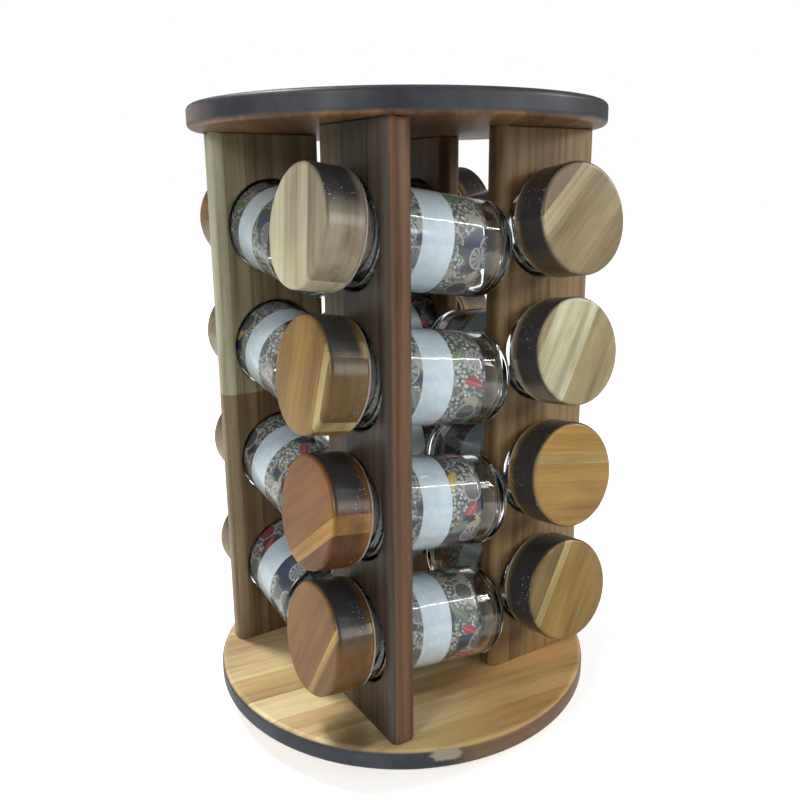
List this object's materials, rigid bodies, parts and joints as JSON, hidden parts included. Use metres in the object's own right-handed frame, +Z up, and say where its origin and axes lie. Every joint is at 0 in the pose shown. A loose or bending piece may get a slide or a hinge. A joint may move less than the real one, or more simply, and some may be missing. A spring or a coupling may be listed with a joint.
{
  "type": "rotating spice rack",
  "caption": "Countertop carousel of wooden discs joined by upright boards in a pinwheel, whose bores hold lidded glass jars lying on their sides; it turns on a ball bearing.",
  "frame": {"origin": "on the table at the turning axis, at the underside of the rubber feet", "axes": "+Z up along the turning axis; the front board's jars point their lids to -X, the right board's to -Y"},
  "size_m": [0.19, 0.19, 0.29],
  "materials": {
    "top_wood": "dark lacquered hardwood",
    "base_wood": "light lacquered hardwood",
    "board_wood": "lacquered hardwood",
    "lid_wood": "glossy lacquered hardwood",
    "dowel_wood": "raw beech",
    "jar_glass": "clear pressed glass",
    "seal_rubber": "milky clear silicone",
    "sleeve_film": "printed film",
    "plate_steel": "zinc plated sheet",
    "ball_steel": "polished",
    "screw_steel": "zinc plated",
    "foot_rubber": "matt black"
  },
  "bodies": {
    "foot": {"lower_plate": "plate_steel", "rubber_feet": "foot_rubber"},
    "ball_ring": {"bearing_balls": "ball_steel"},
    "rack": {"base_disc": "base_wood", "top_disc": "top_wood", "board_right": "board_wood", "board_front": "board_wood", "board_left": "board_wood", "board_back": "board_wood", "upper_plate": "plate_steel", "board_screws": "screw_steel", "board_dowels": "dowel_wood"},
    "jar_right_1": {"jar_right_1": "jar_glass"},
    "jar_right_2": {"jar_right_2": "jar_glass"},
    "jar_right_3": {"jar_right_3": "jar_glass"},
    "jar_right_4": {"jar_right_4": "jar_glass"},
    "jar_front_1": {"jar_front_1": "jar_glass"},
    "jar_front_2": {"jar_front_2": "jar_glass"},
    "jar_front_3": {"jar_front_3": "jar_glass"},
    "jar_front_4": {"jar_front_4": "jar_glass"},
    "jar_left_1": {"jar_left_1": "jar_glass"},
    "jar_left_2": {"jar_left_2": "jar_glass"},
    "jar_left_3": {"jar_left_3": "jar_glass"},
    "jar_left_4": {"jar_left_4": "jar_glass"},
    "jar_back_1": {"jar_back_1": "jar_glass"},
    "jar_back_2": {"jar_back_2": "jar_glass"},
    "jar_back_3": {"jar_back_3": "jar_glass"},
    "jar_back_4": {"jar_back_4": "jar_glass"},
    "lid_right_1": {"lid_right_1": "lid_wood", "seal_right_1": "seal_rubber"},
    "lid_right_2": {"lid_right_2": "lid_wood", "seal_right_2": "seal_rubber"},
    "lid_right_3": {"lid_right_3": "lid_wood", "seal_right_3": "seal_rubber"},
    "lid_right_4": {"lid_right_4": "lid_wood", "seal_right_4": "seal_rubber"},
    "lid_front_1": {"lid_front_1": "lid_wood", "seal_front_1": "seal_rubber"},
    "lid_front_2": {"lid_front_2": "lid_wood", "seal_front_2": "seal_rubber"},
    "lid_front_3": {"lid_front_3": "lid_wood", "seal_front_3": "seal_rubber"},
    "lid_front_4": {"lid_front_4": "lid_wood", "seal_front_4": "seal_rubber"},
    "lid_left_1": {"lid_left_1": "lid_wood", "seal_left_1": "seal_rubber"},
    "lid_left_2": {"lid_left_2": "lid_wood", "seal_left_2": "seal_rubber"},
    "lid_left_3": {"lid_left_3": "lid_wood", "seal_left_3": "seal_rubber"},
    "lid_left_4": {"lid_left_4": "lid_wood", "seal_left_4": "seal_rubber"},
    "lid_back_1": {"lid_back_1": "lid_wood", "seal_back_1": "seal_rubber"},
    "lid_back_2": {"lid_back_2": "lid_wood", "seal_back_2": "seal_rubber"},
    "lid_back_3": {"lid_back_3": "lid_wood", "seal_back_3": "seal_rubber"},
    "lid_back_4": {"lid_back_4": "lid_wood", "seal_back_4": "seal_rubber"}
  },
  "joints": [
    {"name": "rack_spin", "type": "hinge", "parent": "foot", "child": "rack", "pos_m": [0, 0, 0.007], "axis": [0, 0, 1], "continuous": true},
    {"name": "ball_ring_spin", "type": "hinge", "parent": "foot", "child": "ball_ring", "pos_m": [0, 0, 0.007], "axis": [0, 0, 1], "continuous": true},
    {"name": "jar_right_1_slide", "type": "slide", "parent": "rack", "child": "jar_right_1", "axis": [0, -0.9889, 0.1485], "range_m": [0, 0.08]},
    {"name": "jar_right_2_slide", "type": "slide", "parent": "rack", "child": "jar_right_2", "axis": [0, -0.9889, 0.1485], "range_m": [0, 0.08]},
    {"name": "jar_right_3_slide", "type": "slide", "parent": "rack", "child": "jar_right_3", "axis": [0, -0.9889, 0.1485], "range_m": [0, 0.08]},
    {"name": "jar_right_4_slide", "type": "slide", "parent": "rack", "child": "jar_right_4", "axis": [0, -0.9889, 0.1485], "range_m": [0, 0.08]},
    {"name": "jar_front_1_slide", "type": "slide", "parent": "rack", "child": "jar_front_1", "axis": [-0.9889, 0, 0.1485], "range_m": [0, 0.08]},
    {"name": "jar_front_2_slide", "type": "slide", "parent": "rack", "child": "jar_front_2", "axis": [-0.9889, 0, 0.1485], "range_m": [0, 0.08]},
    {"name": "jar_front_3_slide", "type": "slide", "parent": "rack", "child": "jar_front_3", "axis": [-0.9889, 0, 0.1485], "range_m": [0, 0.08]},
    {"name": "jar_front_4_slide", "type": "slide", "parent": "rack", "child": "jar_front_4", "axis": [-0.9889, 0, 0.1485], "range_m": [0, 0.08]},
    {"name": "jar_left_1_slide", "type": "slide", "parent": "rack", "child": "jar_left_1", "axis": [0, 0.9889, 0.1485], "range_m": [0, 0.08]},
    {"name": "jar_left_2_slide", "type": "slide", "parent": "rack", "child": "jar_left_2", "axis": [0, 0.9889, 0.1485], "range_m": [0, 0.08]},
    {"name": "jar_left_3_slide", "type": "slide", "parent": "rack", "child": "jar_left_3", "axis": [0, 0.9889, 0.1485], "range_m": [0, 0.08]},
    {"name": "jar_left_4_slide", "type": "slide", "parent": "rack", "child": "jar_left_4", "axis": [0, 0.9889, 0.1485], "range_m": [0, 0.08]},
    {"name": "jar_back_1_slide", "type": "slide", "parent": "rack", "child": "jar_back_1", "axis": [0.9889, 0, 0.1485], "range_m": [0, 0.08]},
    {"name": "jar_back_2_slide", "type": "slide", "parent": "rack", "child": "jar_back_2", "axis": [0.9889, 0, 0.1485], "range_m": [0, 0.08]},
    {"name": "jar_back_3_slide", "type": "slide", "parent": "rack", "child": "jar_back_3", "axis": [0.9889, 0, 0.1485], "range_m": [0, 0.08]},
    {"name": "jar_back_4_slide", "type": "slide", "parent": "rack", "child": "jar_back_4", "axis": [0.9889, 0, 0.1485], "range_m": [0, 0.08]},
    {"name": "lid_right_1_pull", "type": "slide", "parent": "jar_right_1", "child": "lid_right_1", "axis": [0, -0.9889, 0.1485], "range_m": [0, 0.025]},
    {"name": "lid_right_2_pull", "type": "slide", "parent": "jar_right_2", "child": "lid_right_2", "axis": [0, -0.9889, 0.1485], "range_m": [0, 0.025]},
    {"name": "lid_right_3_pull", "type": "slide", "parent": "jar_right_3", "child": "lid_right_3", "axis": [0, -0.9889, 0.1485], "range_m": [0, 0.025]},
    {"name": "lid_right_4_pull", "type": "slide", "parent": "jar_right_4", "child": "lid_right_4", "axis": [0, -0.9889, 0.1485], "range_m": [0, 0.025]},
    {"name": "lid_front_1_pull", "type": "slide", "parent": "jar_front_1", "child": "lid_front_1", "axis": [-0.9889, 0, 0.1485], "range_m": [0, 0.025]},
    {"name": "lid_front_2_pull", "type": "slide", "parent": "jar_front_2", "child": "lid_front_2", "axis": [-0.9889, 0, 0.1485], "range_m": [0, 0.025]},
    {"name": "lid_front_3_pull", "type": "slide", "parent": "jar_front_3", "child": "lid_front_3", "axis": [-0.9889, 0, 0.1485], "range_m": [0, 0.025]},
    {"name": "lid_front_4_pull", "type": "slide", "parent": "jar_front_4", "child": "lid_front_4", "axis": [-0.9889, 0, 0.1485], "range_m": [0, 0.025]},
    {"name": "lid_left_1_pull", "type": "slide", "parent": "jar_left_1", "child": "lid_left_1", "axis": [0, 0.9889, 0.1485], "range_m": [0, 0.025]},
    {"name": "lid_left_2_pull", "type": "slide", "parent": "jar_left_2", "child": "lid_left_2", "axis": [0, 0.9889, 0.1485], "range_m": [0, 0.025]},
    {"name": "lid_left_3_pull", "type": "slide", "parent": "jar_left_3", "child": "lid_left_3", "axis": [0, 0.9889, 0.1485], "range_m": [0, 0.025]},
    {"name": "lid_left_4_pull", "type": "slide", "parent": "jar_left_4", "child": "lid_left_4", "axis": [0, 0.9889, 0.1485], "range_m": [0, 0.025]},
    {"name": "lid_back_1_pull", "type": "slide", "parent": "jar_back_1", "child": "lid_back_1", "axis": [0.9889, 0, 0.1485], "range_m": [0, 0.025]},
    {"name": "lid_back_2_pull", "type": "slide", "parent": "jar_back_2", "child": "lid_back_2", "axis": [0.9889, 0, 0.1485], "range_m": [0, 0.025]},
    {"name": "lid_back_3_pull", "type": "slide", "parent": "jar_back_3", "child": "lid_back_3", "axis": [0.9889, 0, 0.1485], "range_m": [0, 0.025]},
    {"name": "lid_back_4_pull", "type": "slide", "parent": "jar_back_4", "child": "lid_back_4", "axis": [0.9889, 0, 0.1485], "range_m": [0, 0.025]}
  ],
  "couplings": [
    {"joint": "ball_ring_spin", "follows": "rack_spin", "ratio": 0.5}
  ]
}
